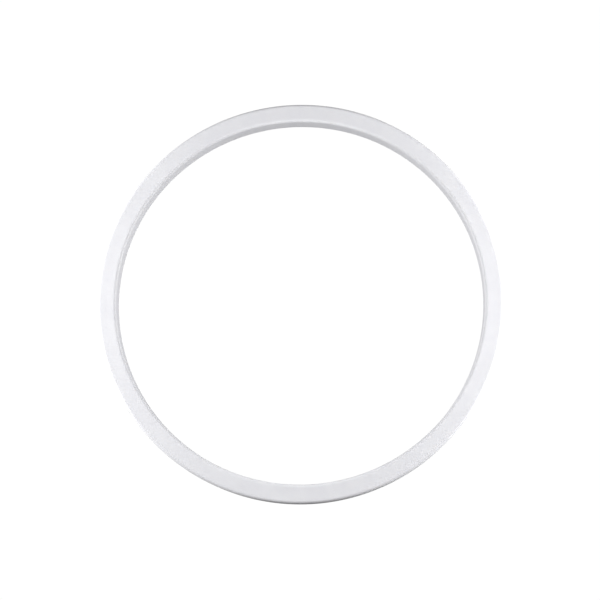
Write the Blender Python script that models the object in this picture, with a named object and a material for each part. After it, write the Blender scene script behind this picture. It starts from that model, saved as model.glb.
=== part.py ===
"""A rhythmic gymnastics hoop, lying flat on the floor.

The hoop is one length of hollow plastic tube of rounded square section, bent into a ring. Its two cut
ends butt together over a hollow barbed plug. Four wire staples, driven flush into the wall that faces
the hoop's centre, hold the tube on the plug.

Run it with: blender --background --python part.py
Lengths are in metres. +Z is the hoop's axis and points up, the origin is on the floor under the hoop's
centre, and the joint between the tube's ends is at the middle of the -Y side.
"""

import math

import bmesh
import bpy
from mathutils import Matrix, Vector

# The hoop and its tube
HOOP_OUTER_DIAMETER = 0.500
TUBE_WIDTH = 0.0230  # from the hoop's outer wall to its inner wall
TUBE_DEPTH = 0.0250  # along the hoop's axis
TUBE_CORNER_RADIUS = 0.0035
TUBE_WALL = 0.0015
END_GAP = 0.0003  # between the two cut ends

# The plug that the ends are pushed onto
PLUG_LENGTH = 0.080
PLUG_WALL = 0.0020
PLUG_CLEARANCE = 0.0003  # to the tube's bore, on every side
PLUG_LAND = 0.006  # the plain stretch in the middle, under the joint
BARB_PITCH = 0.007
BARB_HEIGHT = 0.0006
BARB_FACE = 0.0003  # how far a barb's steep face leans
TIP_DRAW = 0.0010  # how far the plug's tips are drawn in, so that the tube slides on

# The staples, bent from flat wire
STAPLE_CROWN = 0.010
STAPLE_LEG = 0.006
STAPLE_WIRE_WIDTH = 0.0012  # along the hoop's axis
STAPLE_WIRE_THICKNESS = 0.0006
STAPLE_CLEARANCE = 0.0003  # round the wire, in its recess and holes
STAPLE_MARGIN = 0.010  # from the joint, or from the plug's tip, to the middle of the nearest crown

# How finely the curves are faceted
TUBE_STEPS = 120
PLUG_BORE_STEPS = 8
CORNER_STEPS = 3
SMOOTH_ANGLE = math.radians(35)

# What follows from the sizes above
TUBE_CENTRE_RADIUS = (HOOP_OUTER_DIAMETER - TUBE_WIDTH) / 2
BORE_WIDTH = TUBE_WIDTH - 2 * TUBE_WALL
BORE_DEPTH = TUBE_DEPTH - 2 * TUBE_WALL
BORE_CORNER_RADIUS = TUBE_CORNER_RADIUS - TUBE_WALL
PLUG_WIDTH = BORE_WIDTH - 2 * PLUG_CLEARANCE
PLUG_DEPTH = BORE_DEPTH - 2 * PLUG_CLEARANCE
PLUG_CORNER_RADIUS = BORE_CORNER_RADIUS - PLUG_CLEARANCE
JOINT_ANGLE = -math.pi / 2
UP = Vector((0, 0, 1))


def clear_scene():
    for thing in list(bpy.data.objects):
        bpy.data.objects.remove(thing)


def principled(name, colour, roughness, metallic=0.0):
    material = bpy.data.materials.new(name)
    material.use_nodes = True
    shader = material.node_tree.nodes["Principled BSDF"]
    shader.inputs["Base Color"].default_value = (*colour, 1.0)
    shader.inputs["Roughness"].default_value = roughness
    shader.inputs["Metallic"].default_value = metallic
    return material


def add_object(name, bm):
    """Turns a closed bmesh into an object of the scene."""
    bmesh.ops.recalc_face_normals(bm, faces=bm.faces)
    mesh = bpy.data.meshes.new(name)
    bm.to_mesh(mesh)
    bm.free()
    mesh.shade_smooth()
    mesh.set_sharp_from_angle(angle=SMOOTH_ANGLE)
    thing = bpy.data.objects.new(name, mesh)
    bpy.context.scene.collection.objects.link(thing)
    return thing


def add_piece(name, bm, material):
    piece = add_object(name, bm)
    piece.data.materials.append(material)
    return piece


def add_cutter(name, bm):
    cutter = add_object(f"cutter_{name}", bm)
    cutter.hide_render = True
    cutter.display_type = "WIRE"
    return cutter


def cut(piece, cutter):
    """Takes the cutter's shape out of a piece."""
    modifier = piece.modifiers.new(cutter.name, "BOOLEAN")
    modifier.operation = "DIFFERENCE"
    modifier.solver = "EXACT"
    modifier.object = cutter


def rounded_rectangle(width, depth, radius):
    """A section's outline about its own centre, as (away from the hoop's axis, up) pairs."""
    outline = []
    for corner, (out, up) in enumerate(((1, 1), (-1, 1), (-1, -1), (1, -1))):
        for step in range(CORNER_STEPS + 1):
            angle = math.pi / 2 * (corner + step / CORNER_STEPS)
            across = out * (width / 2 - radius) + radius * math.cos(angle)
            along = up * (depth / 2 - radius) + radius * math.sin(angle)
            outline.append((across, along))
    return outline


def on_hoop(angle, out, up):
    """The point of the tube's section, measured from its centre, that stands at an angle."""
    radius = TUBE_CENTRE_RADIUS + out
    return Vector((radius * math.cos(angle), radius * math.sin(angle), TUBE_DEPTH / 2 + up))


def angle_along_tube(distance):
    """The angle at a distance from the joint, measured along the middle of the tube."""
    return JOINT_ANGLE + distance / TUBE_CENTRE_RADIUS


def add_section(bm, outline, angle):
    """Stands an outline across the tube at an angle, as a face."""
    return bm.faces.new([bm.verts.new(on_hoop(angle, out, up)) for out, up in outline])


def bent_bar(outline, start, end, steps):
    """A solid bar of the outline's section, bent round the hoop's axis between two angles."""
    bm = bmesh.new()
    section = add_section(bm, outline, start)
    bmesh.ops.spin(
        bm,
        geom=[*section.verts, *section.edges, section],
        cent=Vector(),
        axis=UP,
        space=Matrix(),
        angle=end - start,
        steps=steps,
    )
    return bm


def make_tube(material):
    """The tube: a bar bent nearly all the way round, with the bore cut along it and out at both ends."""
    outside = rounded_rectangle(TUBE_WIDTH, TUBE_DEPTH, TUBE_CORNER_RADIUS)
    inside = rounded_rectangle(BORE_WIDTH, BORE_DEPTH, BORE_CORNER_RADIUS)
    full_turn = 2 * math.pi
    half_gap = angle_along_tube(END_GAP / 2)
    quarter_gap = angle_along_tube(END_GAP / 4)
    far_half_gap = angle_along_tube(-END_GAP / 2) + full_turn
    far_quarter_gap = angle_along_tube(-END_GAP / 4) + full_turn
    tube = add_piece("hoop_tube", bent_bar(outside, half_gap, far_half_gap, TUBE_STEPS), material)
    cut(tube, add_cutter("tube_bore", bent_bar(inside, quarter_gap, far_quarter_gap, TUBE_STEPS)))
    return tube


def half_plug_profile():
    """(distance from the joint, how far the surface is drawn in) from the plug's middle to one tip.

    A barb's steep face looks towards the joint and its slope towards the tip, so the tube slides on
    easily and comes off hard.
    """
    plain = PLUG_LAND / 2
    profile = [(0.0, 0.0), (plain, 0.0)]
    for barb in range(1, 1 + int((PLUG_LENGTH / 2 - plain) / BARB_PITCH)):
        crest = plain + barb * BARB_PITCH
        profile += [(crest - BARB_FACE, BARB_HEIGHT), (crest, 0.0)]
    profile.append((PLUG_LENGTH / 2, TIP_DRAW))
    return profile


def make_plug(material):
    """The plug: sections bridged from tip to tip, with a plain bore cut along the middle."""
    to_right = half_plug_profile()
    to_left = [(-distance, drawn_in) for distance, drawn_in in reversed(to_right[1:])]
    bm = bmesh.new()
    sections = []
    for distance, drawn_in in to_left + to_right:
        width = PLUG_WIDTH - 2 * drawn_in
        depth = PLUG_DEPTH - 2 * drawn_in
        outline = rounded_rectangle(width, depth, PLUG_CORNER_RADIUS - drawn_in)
        sections.append(add_section(bm, outline, angle_along_tube(distance)))
    for section, next_section in zip(sections, sections[1:]):
        bmesh.ops.bridge_loops(bm, edges=[*section.edges, *next_section.edges])
    bmesh.ops.delete(bm, geom=sections[1:-1], context="FACES_ONLY")
    plug = add_piece("joint_plug", bm, material)
    inside = rounded_rectangle(PLUG_WIDTH - 2 * PLUG_WALL, PLUG_DEPTH - 2 * PLUG_WALL, PLUG_CORNER_RADIUS)
    start = angle_along_tube(-PLUG_LENGTH / 2 - PLUG_WALL)
    end = angle_along_tube(PLUG_LENGTH / 2 + PLUG_WALL)
    cut(plug, add_cutter("plug_bore", bent_bar(inside, start, end, PLUG_BORE_STEPS)))
    return plug


def staple_bmesh(grow, proud):
    """A staple whose crown lies along X under the origin, with its two legs towards -Y.

    The wire is thicker by grow on every side, and the crown's outer face stands proud of the origin.
    """
    half_crown = STAPLE_CROWN / 2 + grow
    half_inside = STAPLE_CROWN / 2 - STAPLE_WIRE_THICKNESS - grow
    under_crown = -STAPLE_WIRE_THICKNESS - grow
    tip = -STAPLE_LEG - grow
    half_width = STAPLE_WIRE_WIDTH / 2 + grow
    right = [(half_inside, under_crown), (half_inside, tip), (half_crown, tip), (half_crown, proud)]
    left = [(-x, y) for x, y in reversed(right)]
    bm = bmesh.new()
    side = bm.faces.new([bm.verts.new((x, y, -half_width)) for x, y in left + right])
    extruded = bmesh.ops.extrude_face_region(bm, geom=[side])["geom"]
    verts = [item for item in extruded if isinstance(item, bmesh.types.BMVert)]
    bmesh.ops.translate(bm, verts=verts, vec=UP * 2 * half_width)
    return bm


def set_in_inner_wall(thing, distance):
    """Puts an object's origin on the wall that faces the hoop's centre, and its +Y towards the centre."""
    angle = angle_along_tube(distance)
    thing.location = on_hoop(angle, -TUBE_WIDTH / 2, 0)
    thing.rotation_euler.z = angle - JOINT_ANGLE


def make_staple(name, distance, material, stapled):
    """A staple at a distance from the joint, with its recess and holes in the pieces that it holds."""
    staple = add_piece(name, staple_bmesh(grow=0.0, proud=0.0), material)
    cutter = add_cutter(name, staple_bmesh(grow=STAPLE_CLEARANCE, proud=TUBE_WALL))
    for thing in (staple, cutter):
        set_in_inner_wall(thing, distance)
    for piece in stapled:
        cut(piece, cutter)


def main():
    clear_scene()
    tube = make_tube(principled("white_hoop_plastic", (0.86, 0.86, 0.88), roughness=0.35))
    plug = make_plug(principled("natural_plug_plastic", (0.74, 0.74, 0.70), roughness=0.50))
    steel = principled("staple_steel", (0.62, 0.63, 0.65), roughness=0.30, metallic=1.0)
    near = STAPLE_MARGIN
    far = PLUG_LENGTH / 2 - STAPLE_MARGIN
    for name, distance in (("left_far", -far), ("left_near", -near), ("right_near", near), ("right_far", far)):
        make_staple(f"staple_{name}", distance, steel, stapled=(tube, plug))


main()
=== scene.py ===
import math

import bmesh
import bpy
from mathutils import Matrix, Vector


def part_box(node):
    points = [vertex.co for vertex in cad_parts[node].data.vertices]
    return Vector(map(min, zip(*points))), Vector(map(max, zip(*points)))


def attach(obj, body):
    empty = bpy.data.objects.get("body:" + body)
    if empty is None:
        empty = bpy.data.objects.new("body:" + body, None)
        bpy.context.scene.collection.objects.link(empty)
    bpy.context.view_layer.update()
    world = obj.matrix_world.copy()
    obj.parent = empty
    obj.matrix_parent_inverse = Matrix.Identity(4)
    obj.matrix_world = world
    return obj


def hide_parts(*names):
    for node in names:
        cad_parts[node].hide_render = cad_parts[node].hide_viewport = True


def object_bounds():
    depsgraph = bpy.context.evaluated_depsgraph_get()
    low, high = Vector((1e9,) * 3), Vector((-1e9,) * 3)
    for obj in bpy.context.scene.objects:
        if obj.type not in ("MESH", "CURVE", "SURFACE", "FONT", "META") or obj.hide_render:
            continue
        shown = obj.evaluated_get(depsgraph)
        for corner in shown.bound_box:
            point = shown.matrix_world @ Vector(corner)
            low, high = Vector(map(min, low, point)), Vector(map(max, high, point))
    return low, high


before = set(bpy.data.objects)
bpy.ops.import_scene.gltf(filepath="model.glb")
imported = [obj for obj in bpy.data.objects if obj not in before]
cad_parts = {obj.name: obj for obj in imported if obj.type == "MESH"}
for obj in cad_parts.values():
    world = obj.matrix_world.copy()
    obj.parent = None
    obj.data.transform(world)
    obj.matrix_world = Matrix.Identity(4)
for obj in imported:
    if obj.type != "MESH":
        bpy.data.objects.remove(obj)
cad_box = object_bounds()


# The camera stands over the near side of the hoop, where the tube's joint is, and looks steeply down at
# it. It is turned about its own axis, so that the far side lies a little left of the view's top.
camera_elevation = math.radians(79)
camera_roll = math.radians(-10)
camera_distance = 1.6
camera_target = Vector((0, 0, cad_box[1].z / 2))

camera_data = bpy.data.cameras.new("camera")
camera_data.lens = 77.5
camera_data.sensor_width = 36
camera_data.dof.use_dof = False
camera = bpy.data.objects.new("camera", camera_data)
tilt = Matrix.Rotation(math.pi / 2 - camera_elevation, 4, "X")
step_back = Matrix.Translation((0, 0, camera_distance))
roll = Matrix.Rotation(camera_roll, 4, "Z")
camera.matrix_world = Matrix.Translation(camera_target) @ tilt @ step_back @ roll
bpy.context.scene.collection.objects.link(camera)
bpy.context.scene.camera = camera


# The tube is one extrusion of white polyethylene with a rounded, nearly square section, bent into a ring
# while it is warm, so its outer wall and its two sides are drawn in a little between their corners. Its
# sawn ends are eased with a knife and butt together over the plug.
tube_low, tube_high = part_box("hoop_tube")
hoop_radius = (tube_high.x - tube_low.x) / 2
tube_depth = tube_high.z - tube_low.z
tube_width = 0.0230
tube_corner = 0.0035
tube_wall = 0.0015
tube_centre_radius = hoop_radius - tube_width / 2
drawn_in = 0.00010
end_gap = 0.00004
end_easing = 0.00008
joint_angle = -math.pi / 2
tube_steps = 360
crease_angle = math.radians(25)


def standing_section(bm, width, depth, corner, corner_segments, side_cuts):
    """A rounded rectangle across the tube where it passes through +X, as one face."""
    bmesh.ops.create_grid(bm, x_segments=1, y_segments=1, size=0.5)
    bmesh.ops.scale(bm, vec=(width, depth, 1), verts=bm.verts)
    bmesh.ops.bevel(
        bm, geom=bm.verts[:], offset=corner, offset_type="OFFSET", affect="VERTICES",
        segments=corner_segments, profile=0.5, material=-1,
    )
    if side_cuts:
        straight = [edge for edge in bm.edges if edge.calc_length() > corner]
        bmesh.ops.subdivide_edges(bm, edges=straight, cuts=side_cuts)
    bmesh.ops.rotate(bm, verts=bm.verts, matrix=Matrix.Rotation(math.pi / 2, 3, "X"))
    bmesh.ops.translate(bm, verts=bm.verts, vec=(tube_centre_radius, 0, tube_depth / 2))
    bm.normal_update()
    return bm.faces[:][0]


def hollowed(bm, section, wall):
    """Opens a bore in a section, which leaves a wall of even thickness."""
    bmesh.ops.inset_region(bm, faces=[section], thickness=wall, use_boundary=True, use_even_offset=True)
    bmesh.ops.delete(bm, geom=[section], context="FACES_ONLY")


def bent_round(bm, start, end, steps):
    """Carries a section round the hoop's axis between two angles."""
    bmesh.ops.rotate(bm, verts=bm.verts, matrix=Matrix.Rotation(start, 3, "Z"))
    bmesh.ops.spin(
        bm, geom=[*bm.verts, *bm.edges, *bm.faces], cent=(0, 0, 0), axis=(0, 0, 1),
        angle=end - start, steps=steps,
    )
    bmesh.ops.recalc_face_normals(bm, faces=bm.faces)


def piece_from(bm, name, material, cad_node):
    """Makes a bmesh a piece of the object, which stands for a CAD node and rides on its body."""
    mesh = bpy.data.meshes.new(name)
    bm.to_mesh(mesh)
    bm.free()
    mesh.shade_smooth()
    mesh.set_sharp_from_angle(angle=crease_angle)
    mesh.materials.append(material)
    piece = bpy.data.objects.new(name, mesh)
    bpy.context.scene.collection.objects.link(piece)
    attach(piece, "root")
    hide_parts(cad_node)
    return piece


def new_material(name, colour, roughness):
    """A material whose Principled shader has its plain values set, with its nodes and its links."""
    material = bpy.data.materials.new(name)
    material.use_nodes = True
    shader = material.node_tree.nodes["Principled BSDF"]
    shader.inputs["Base Color"].default_value = (*colour, 1)
    shader.inputs["Roughness"].default_value = roughness
    return material, shader, material.node_tree.nodes, material.node_tree.links


white_plastic, shader, nodes, links = new_material("extruded_white_plastic", (0.86, 0.86, 0.88), 0.50)
shader.inputs["IOR"].default_value = 1.5
shader.inputs["Subsurface Weight"].default_value = 0.08
shader.inputs["Subsurface Radius"].default_value = (1.0, 0.95, 0.9)
shader.inputs["Subsurface Scale"].default_value = 0.001
place = nodes.new("ShaderNodeTexCoord")
axes = nodes.new("ShaderNodeSeparateXYZ")
links.new(place.outputs["Object"], axes.inputs["Vector"])
level = nodes.new("ShaderNodeVectorMath")
level.operation = "MULTIPLY"
level.inputs[1].default_value = (1, 1, 0)
links.new(place.outputs["Object"], level.inputs[0])
radius = nodes.new("ShaderNodeVectorMath")
radius.operation = "LENGTH"
links.new(level.outputs["Vector"], radius.inputs[0])

# The lips of the extrusion die draw fine lines along the tube. They are some tenths of a millimetre
# apart, and each fades in and out over a few centimetres.
lines_per_metre = 1700
fades_per_metre = 14
drawn_out = nodes.new("ShaderNodeVectorMath")
drawn_out.operation = "MULTIPLY"
drawn_out.inputs[1].default_value = (fades_per_metre, fades_per_metre, lines_per_metre)
links.new(place.outputs["Object"], drawn_out.inputs[0])
line_place = nodes.new("ShaderNodeMath")
line_place.operation = "MULTIPLY"
line_place.inputs[1].default_value = lines_per_metre
links.new(radius.outputs["Value"], line_place.inputs[0])
die_lines = nodes.new("ShaderNodeTexNoise")
die_lines.noise_dimensions = "4D"
die_lines.inputs["Scale"].default_value = 1
die_lines.inputs["Detail"].default_value = 2
links.new(drawn_out.outputs["Vector"], die_lines.inputs["Vector"])
links.new(line_place.outputs["Value"], die_lines.inputs["W"])

# Cloudy patches: the melt never cools quite evenly.
clouds = nodes.new("ShaderNodeTexNoise")
clouds.inputs["Scale"].default_value = 60
clouds.inputs["Detail"].default_value = 3
links.new(place.outputs["Object"], clouds.inputs["Vector"])

# The four corners rub on floors and hands. They are a little duller and greyer there, in patches. The
# rub starts and is full at these shares of the way from the section's middle to its walls.
rub_start = 0.80
rub_full = 0.93
rub_masks = []
for source, middle, half in (
    (radius.outputs["Value"], tube_centre_radius, tube_width / 2),
    (axes.outputs["Z"], tube_depth / 2, tube_depth / 2),
):
    from_middle = nodes.new("ShaderNodeMath")
    from_middle.operation = "SUBTRACT"
    from_middle.inputs[1].default_value = middle
    links.new(source, from_middle.inputs[0])
    distance = nodes.new("ShaderNodeMath")
    distance.operation = "ABSOLUTE"
    links.new(from_middle.outputs["Value"], distance.inputs[0])
    near_edge = nodes.new("ShaderNodeMapRange")
    near_edge.interpolation_type = "SMOOTHSTEP"
    near_edge.inputs["From Min"].default_value = half * rub_start
    near_edge.inputs["From Max"].default_value = half * rub_full
    links.new(distance.outputs["Value"], near_edge.inputs["Value"])
    rub_masks.append(near_edge.outputs["Result"])
on_corner = nodes.new("ShaderNodeMath")
on_corner.operation = "MULTIPLY"
links.new(rub_masks[0], on_corner.inputs[0])
links.new(rub_masks[1], on_corner.inputs[1])
scuffs = nodes.new("ShaderNodeTexNoise")
scuffs.inputs["Scale"].default_value = 240
scuffs.inputs["Detail"].default_value = 6
scuffs.inputs["Roughness"].default_value = 0.7
links.new(place.outputs["Object"], scuffs.inputs["Vector"])
scuff_patches = nodes.new("ShaderNodeMapRange")
scuff_patches.inputs["From Min"].default_value = 0.50
scuff_patches.inputs["From Max"].default_value = 0.68
links.new(scuffs.outputs["Fac"], scuff_patches.inputs["Value"])
worn = nodes.new("ShaderNodeMath")
worn.operation = "MULTIPLY"
links.new(on_corner.outputs["Value"], worn.inputs[0])
links.new(scuff_patches.outputs["Result"], worn.inputs[1])

shade = nodes.new("ShaderNodeValToRGB")
shade.color_ramp.elements[0].position = 0.35
shade.color_ramp.elements[0].color = (0.850, 0.850, 0.886, 1)
shade.color_ramp.elements[1].position = 0.65
shade.color_ramp.elements[1].color = (0.876, 0.876, 0.906, 1)
links.new(clouds.outputs["Fac"], shade.inputs["Fac"])
streaked = nodes.new("ShaderNodeMix")
streaked.data_type = "RGBA"
streaked.blend_type = "MULTIPLY"
streaked.inputs["Factor"].default_value = 0.025
links.new(shade.outputs["Color"], streaked.inputs["A"])
links.new(die_lines.outputs["Fac"], streaked.inputs["B"])
greyed = nodes.new("ShaderNodeMix")
greyed.data_type = "RGBA"
greyed.inputs["B"].default_value = (0.74, 0.74, 0.735, 1)
links.new(worn.outputs["Value"], greyed.inputs["Factor"])
links.new(streaked.outputs["Result"], greyed.inputs["A"])
links.new(greyed.outputs["Result"], shader.inputs["Base Color"])

line_gloss = nodes.new("ShaderNodeMapRange")
line_gloss.inputs["From Min"].default_value = 0.3
line_gloss.inputs["From Max"].default_value = 0.7
line_gloss.inputs["To Min"].default_value = 0.42
line_gloss.inputs["To Max"].default_value = 0.52
links.new(die_lines.outputs["Fac"], line_gloss.inputs["Value"])
dulled = nodes.new("ShaderNodeMath")
dulled.operation = "MULTIPLY_ADD"
dulled.inputs[1].default_value = 0.16
links.new(worn.outputs["Value"], dulled.inputs[0])
links.new(line_gloss.outputs["Result"], dulled.inputs[2])
links.new(dulled.outputs["Value"], shader.inputs["Roughness"])

line_relief = nodes.new("ShaderNodeBump")
line_relief.inputs["Strength"].default_value = 0.5
line_relief.inputs["Distance"].default_value = 0.00005
links.new(die_lines.outputs["Fac"], line_relief.inputs["Height"])
scuff_relief = nodes.new("ShaderNodeBump")
scuff_relief.inputs["Strength"].default_value = 0.35
scuff_relief.inputs["Distance"].default_value = 0.00005
links.new(worn.outputs["Value"], scuff_relief.inputs["Height"])
links.new(line_relief.outputs["Normal"], scuff_relief.inputs["Normal"])
links.new(scuff_relief.outputs["Normal"], shader.inputs["Normal"])

bm = bmesh.new()
section = standing_section(bm, tube_width, tube_depth, tube_corner, corner_segments=8, side_cuts=7)
for vert in bm.verts:
    across = (vert.co.x - tube_centre_radius) / (tube_width / 2 - tube_corner)
    upward = (vert.co.z - tube_depth / 2) / (tube_depth / 2 - tube_corner)
    if abs(across) < 1:
        vert.co.z -= math.copysign(drawn_in * (1 - across**2), upward)
    elif abs(upward) < 1 and across > 0:
        vert.co.x -= drawn_in * (1 - upward**2)
hollowed(bm, section, tube_wall)
half_gap = end_gap / 2 / tube_centre_radius
bent_round(bm, joint_angle + half_gap, joint_angle + 2 * math.pi - half_gap, tube_steps)
end_edge_angle = math.radians(60)
end_edges = [edge for edge in bm.edges if edge.calc_face_angle() > end_edge_angle]
bmesh.ops.bevel(
    bm, geom=end_edges, offset=end_easing, offset_type="OFFSET", affect="EDGES",
    segments=2, profile=0.5, material=-1,
)
tube = piece_from(bm, "tube", white_plastic, "hoop_tube")


# The plug is a short moulding of uncoloured polypropylene inside the tube, curved as the tube is. Barbs
# ring both of its halves: each slopes up from the tip's side and drops steeply on the joint's side.
plug_low, plug_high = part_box("joint_plug")
plug_depth = plug_high.z - plug_low.z
plug_width = tube_width - (tube_depth - plug_depth)
plug_length = 0.080
plug_corner = 0.0017
plug_wall = 0.0020
plug_land = 0.006
barb_pitch = 0.007
barb_height = 0.0006
barb_face_share = 0.06  # of the pitch, for a barb's steep face
tip_draw = 0.0010
plug_steps = 160
barbs = int((plug_length / 2 - plug_land / 2) / barb_pitch)


def barb_draw(distance):
    """How far the plug's surface is drawn in, at a distance from the joint."""
    beyond = (abs(distance) - plug_land / 2) / barb_pitch
    if beyond <= 0:
        return 0.0
    if beyond >= barbs:
        tip_length = plug_length / 2 - plug_land / 2 - barbs * barb_pitch
        return tip_draw * (beyond - barbs) * barb_pitch / tip_length
    share = beyond % 1
    return barb_height * min(share / (1 - barb_face_share), (1 - share) / barb_face_share)


plug_plastic, shader, nodes, links = new_material("natural_plug_plastic", (0.74, 0.74, 0.70), 0.45)
shader.inputs["Subsurface Weight"].default_value = 0.3
shader.inputs["Subsurface Radius"].default_value = (1.0, 0.95, 0.85)
shader.inputs["Subsurface Scale"].default_value = 0.002
place = nodes.new("ShaderNodeTexCoord")
milkiness = nodes.new("ShaderNodeTexNoise")
milkiness.inputs["Scale"].default_value = 150
milkiness.inputs["Detail"].default_value = 3
links.new(place.outputs["Object"], milkiness.inputs["Vector"])
milky = nodes.new("ShaderNodeValToRGB")
milky.color_ramp.elements[0].position = 0.3
milky.color_ramp.elements[0].color = (0.70, 0.70, 0.655, 1)
milky.color_ramp.elements[1].position = 0.7
milky.color_ramp.elements[1].color = (0.77, 0.77, 0.735, 1)
links.new(milkiness.outputs["Fac"], milky.inputs["Fac"])
links.new(milky.outputs["Color"], shader.inputs["Base Color"])
spark_grain = nodes.new("ShaderNodeTexNoise")
spark_grain.inputs["Scale"].default_value = 4000
spark_grain.inputs["Detail"].default_value = 2
links.new(place.outputs["Object"], spark_grain.inputs["Vector"])
grain_gloss = nodes.new("ShaderNodeMapRange")
grain_gloss.inputs["To Min"].default_value = 0.38
grain_gloss.inputs["To Max"].default_value = 0.56
links.new(spark_grain.outputs["Fac"], grain_gloss.inputs["Value"])
links.new(grain_gloss.outputs["Result"], shader.inputs["Roughness"])
grain_relief = nodes.new("ShaderNodeBump")
grain_relief.inputs["Strength"].default_value = 0.3
grain_relief.inputs["Distance"].default_value = 0.00002
links.new(spark_grain.outputs["Fac"], grain_relief.inputs["Height"])
links.new(grain_relief.outputs["Normal"], shader.inputs["Normal"])

bm = bmesh.new()
section = standing_section(bm, plug_width, plug_depth, plug_corner, corner_segments=6, side_cuts=0)
hollowed(bm, section, plug_wall)
half_turn = plug_length / 2 / tube_centre_radius
bent_round(bm, joint_angle - half_turn, joint_angle + half_turn, plug_steps)
for vert in bm.verts:
    flat = Vector((vert.co.x, vert.co.y))
    across = flat.length - tube_centre_radius
    upward = vert.co.z - tube_depth / 2
    distance = (math.atan2(flat.y, flat.x) - joint_angle) * tube_centre_radius
    on_skin = abs(across) > plug_width / 2 - plug_wall / 2 or abs(upward) > plug_depth / 2 - plug_wall / 2
    if on_skin:
        draw = barb_draw(distance)
        flat *= (tube_centre_radius + across * (1 - draw / (plug_width / 2))) / flat.length
        upward *= 1 - draw / (plug_depth / 2)
        vert.co = (flat.x, flat.y, tube_depth / 2 + upward)
plug = piece_from(bm, "plug", plug_plastic, "joint_plug")


# The staples are bent from flat galvanised wire with rolled edges. A staple gun drives two through each
# end of the tube and into the plug, from the side that faces the hoop's centre, until they lie flush.
crown_length = 0.010
leg_length = 0.006
wire_width = 0.0012
wire_thickness = 0.0006
bend_radius = 0.0006
bend_steps = 6
hole_play = 0.00004
hole_crease_angle = math.radians(15)


def extruded(bm, face, move):
    """Extrudes an end face and moves the new one, which is returned.

    Past the first stretch, the old face is left inside the bar, so it is taken out.
    """
    made = bmesh.ops.extrude_face_region(bm, geom=[face])["geom"]
    end = next(item for item in made if isinstance(item, bmesh.types.BMFace))
    bmesh.ops.transform(bm, matrix=move, verts=end.verts)
    if len(face.edges[0].link_faces) > 2:
        bmesh.ops.delete(bm, geom=[face], context="FACES_ONLY")
    return end


def bent_wire(play):
    """A staple with its crown along X at the origin, its legs towards -Y, and thicker by the play."""
    bm = bmesh.new()
    half_thickness = wire_thickness / 2
    bmesh.ops.create_grid(bm, x_segments=1, y_segments=1, size=0.5)
    bmesh.ops.scale(bm, vec=(wire_thickness + 2 * play, wire_width + 2 * play, 1), verts=bm.verts)
    bmesh.ops.bevel(
        bm, geom=bm.verts[:], offset=wire_thickness / 4, offset_type="OFFSET", affect="VERTICES",
        segments=3, profile=0.5, material=-1,
    )
    bmesh.ops.rotate(bm, verts=bm.verts, matrix=Matrix.Rotation(math.pi / 2, 3, "X"))
    left = half_thickness - crown_length / 2
    bmesh.ops.translate(bm, verts=bm.verts, vec=(left, -leg_length - play, 0))
    face = bm.faces[:][0]
    straight_leg = leg_length + play - half_thickness - bend_radius
    face = extruded(bm, face, Matrix.Translation((0, straight_leg, 0)))
    for side in (-1, 1):
        bend = Vector((-side * (left + bend_radius), -half_thickness - bend_radius, 0))
        to_bend = Matrix.Translation(bend)
        turn = Matrix.Rotation(-math.pi / 2 / bend_steps, 4, "Z")
        for _ in range(bend_steps):
            face = extruded(bm, face, to_bend @ turn @ to_bend.inverted())
        if side < 0:
            face = extruded(bm, face, Matrix.Translation((-2 * (left + bend_radius), 0, 0)))
    extruded(bm, face, Matrix.Translation((0, -straight_leg, 0)))
    bmesh.ops.recalc_face_normals(bm, faces=bm.faces)
    return bm


staple_steel, shader, nodes, links = new_material("galvanised_staple_wire", (0.62, 0.63, 0.65), 0.32)
shader.inputs["Metallic"].default_value = 1
place = nodes.new("ShaderNodeTexCoord")
zinc = nodes.new("ShaderNodeTexNoise")
zinc.inputs["Scale"].default_value = 900
zinc.inputs["Detail"].default_value = 4
links.new(place.outputs["Object"], zinc.inputs["Vector"])
zinc_tones = nodes.new("ShaderNodeValToRGB")
zinc_tones.color_ramp.elements[0].position = 0.3
zinc_tones.color_ramp.elements[0].color = (0.52, 0.53, 0.55, 1)
zinc_tones.color_ramp.elements[1].position = 0.7
zinc_tones.color_ramp.elements[1].color = (0.69, 0.70, 0.72, 1)
links.new(zinc.outputs["Fac"], zinc_tones.inputs["Fac"])
links.new(zinc_tones.outputs["Color"], shader.inputs["Base Color"])
zinc_gloss = nodes.new("ShaderNodeMapRange")
zinc_gloss.inputs["To Min"].default_value = 0.22
zinc_gloss.inputs["To Max"].default_value = 0.46
links.new(zinc.outputs["Fac"], zinc_gloss.inputs["Value"])
links.new(zinc_gloss.outputs["Result"], shader.inputs["Roughness"])
rolling_marks = nodes.new("ShaderNodeMapping")
rolling_marks.inputs["Scale"].default_value = (300, 300, 9000)
links.new(place.outputs["Object"], rolling_marks.inputs["Vector"])
marks = nodes.new("ShaderNodeTexNoise")
marks.inputs["Scale"].default_value = 1
links.new(rolling_marks.outputs["Vector"], marks.inputs["Vector"])
marks_relief = nodes.new("ShaderNodeBump")
marks_relief.inputs["Strength"].default_value = 0.3
marks_relief.inputs["Distance"].default_value = 0.00001
links.new(marks.outputs["Fac"], marks_relief.inputs["Height"])
links.new(marks_relief.outputs["Normal"], shader.inputs["Normal"])

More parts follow.
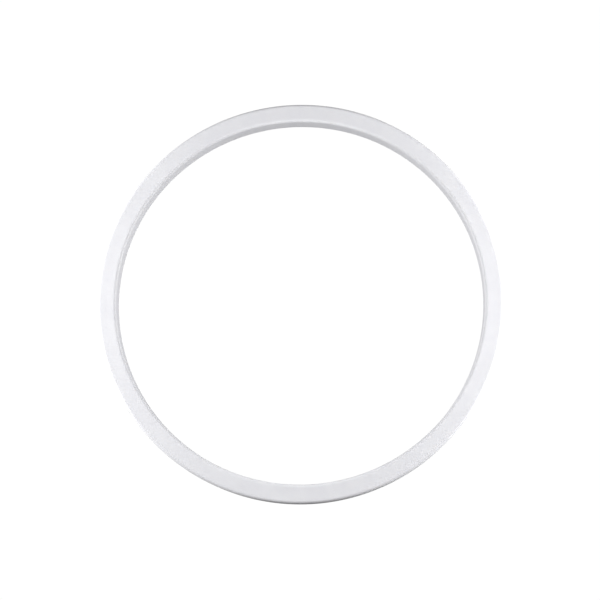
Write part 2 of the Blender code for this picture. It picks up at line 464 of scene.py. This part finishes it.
cutter_bm = bmesh.new()
for name in ("staple_left_far", "staple_left_near", "staple_right_near", "staple_right_far"):
    low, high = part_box(name)
    middle = (low + high) / 2
    angle = math.atan2(middle.y, middle.x)
    stand = Matrix.Rotation(angle - joint_angle, 4, "Z")
    stand @= Matrix.Translation((0, tube_width / 2 - tube_centre_radius, tube_depth / 2))
    hole = bent_wire(hole_play)
    bmesh.ops.transform(hole, matrix=stand, verts=hole.verts)
    hole_mesh = bpy.data.meshes.new("hole")
    hole.to_mesh(hole_mesh)
    hole.free()
    cutter_bm.from_mesh(hole_mesh)
    bpy.data.meshes.remove(hole_mesh)
    bm = bent_wire(0)
    bmesh.ops.transform(bm, matrix=stand, verts=bm.verts)
    piece_from(bm, name.replace("staple", "wire_staple"), staple_steel, name)

cutter_mesh = bpy.data.meshes.new("staple_holes")
cutter_bm.to_mesh(cutter_mesh)
cutter_bm.free()
cutter = bpy.data.objects.new("staple_holes", cutter_mesh)
bpy.context.scene.collection.objects.link(cutter)
for piece in (tube, plug):
    boolean = piece.modifiers.new("staple_holes", "BOOLEAN")
    boolean.object = cutter
    boolean.solver = "EXACT"
bpy.context.view_layer.update()
for piece in (tube, plug):
    whole = piece.data
    evaluated = piece.evaluated_get(bpy.context.evaluated_depsgraph_get())
    piece.data = bpy.data.meshes.new_from_object(evaluated)
    piece.modifiers.clear()
    piece.data.set_sharp_from_angle(angle=hole_crease_angle)
    bpy.data.meshes.remove(whole)
bpy.data.objects.remove(cutter)


# The floor is a plain white sweep. It is lit so evenly that it shows no shadow to the camera, and it takes
# shadow only in the light that it gives back to the hoop.
floor_side = 12
plain_white = 1.02
bm = bmesh.new()
bmesh.ops.create_grid(bm, x_segments=1, y_segments=1, size=floor_side / 2)
floor_mesh = bpy.data.meshes.new("floor")
bm.to_mesh(floor_mesh)
bm.free()
floor = bpy.data.objects.new("floor", floor_mesh)
bpy.context.scene.collection.objects.link(floor)
floor_white = bpy.data.materials.new("floor_white")
floor_white.use_nodes = True
floor_mesh.materials.append(floor_white)
nodes = floor_white.node_tree.nodes
links = floor_white.node_tree.links
nodes.clear()
matt = nodes.new("ShaderNodeBsdfDiffuse")
matt.inputs["Color"].default_value = (0.3, 0.3, 0.3, 1)
lit = nodes.new("ShaderNodeEmission")
lit.inputs["Strength"].default_value = plain_white
ray = nodes.new("ShaderNodeLightPath")
either = nodes.new("ShaderNodeMixShader")
surface = nodes.new("ShaderNodeOutputMaterial")
links.new(ray.outputs["Is Camera Ray"], either.inputs["Fac"])
links.new(matt.outputs["BSDF"], either.inputs[1])
links.new(lit.outputs["Emission"], either.inputs[2])
links.new(either.outputs["Shader"], surface.inputs["Surface"])


# Two softboxes shine in low from the left and the right of the view, so the hoop is brightest at those
# sides, and a broad one hangs overhead. The white room itself gives little light.
view_right = Vector((math.cos(camera_roll), math.sin(camera_roll), 0))
for name, outwards, height, length, width, energy in (
    ("left_softbox", -1.0, 0.36, 0.6, 0.3, 11.8),
    ("right_softbox", 1.0, 0.36, 0.6, 0.3, 11.8),
    ("overhead_softbox", 0, 1.3, 1.0, 1.0, 3.6),
):
    stand = view_right * outwards + Vector((0, 0, height))
    light = bpy.data.lights.new(name, "AREA")
    light.shape = "RECTANGLE"
    light.size = length
    light.size_y = width
    light.energy = energy
    softbox = bpy.data.objects.new(name, light)
    aim = (-stand).to_track_quat("-Z", "Y").to_matrix().to_4x4()
    softbox.matrix_world = Matrix.Translation(stand) @ aim
    softbox.visible_camera = False
    bpy.context.scene.collection.objects.link(softbox)

world = bpy.data.worlds.new("studio")
world.use_nodes = True
bpy.context.scene.world = world
nodes = world.node_tree.nodes
links = world.node_tree.links
nodes.clear()
fill = nodes.new("ShaderNodeBackground")
fill.inputs["Strength"].default_value = 0.10
seen = nodes.new("ShaderNodeBackground")
seen.inputs["Strength"].default_value = plain_white
for background in (fill, seen):
    background.inputs["Color"].default_value = (1, 1, 1, 1)
ray = nodes.new("ShaderNodeLightPath")
either = nodes.new("ShaderNodeMixShader")
room = nodes.new("ShaderNodeOutputWorld")
links.new(ray.outputs["Is Camera Ray"], either.inputs["Fac"])
links.new(fill.outputs["Background"], either.inputs[1])
links.new(seen.outputs["Background"], either.inputs[2])
links.new(either.outputs["Shader"], room.inputs["Surface"])
bpy.context.scene.view_settings.view_transform = "Standard"
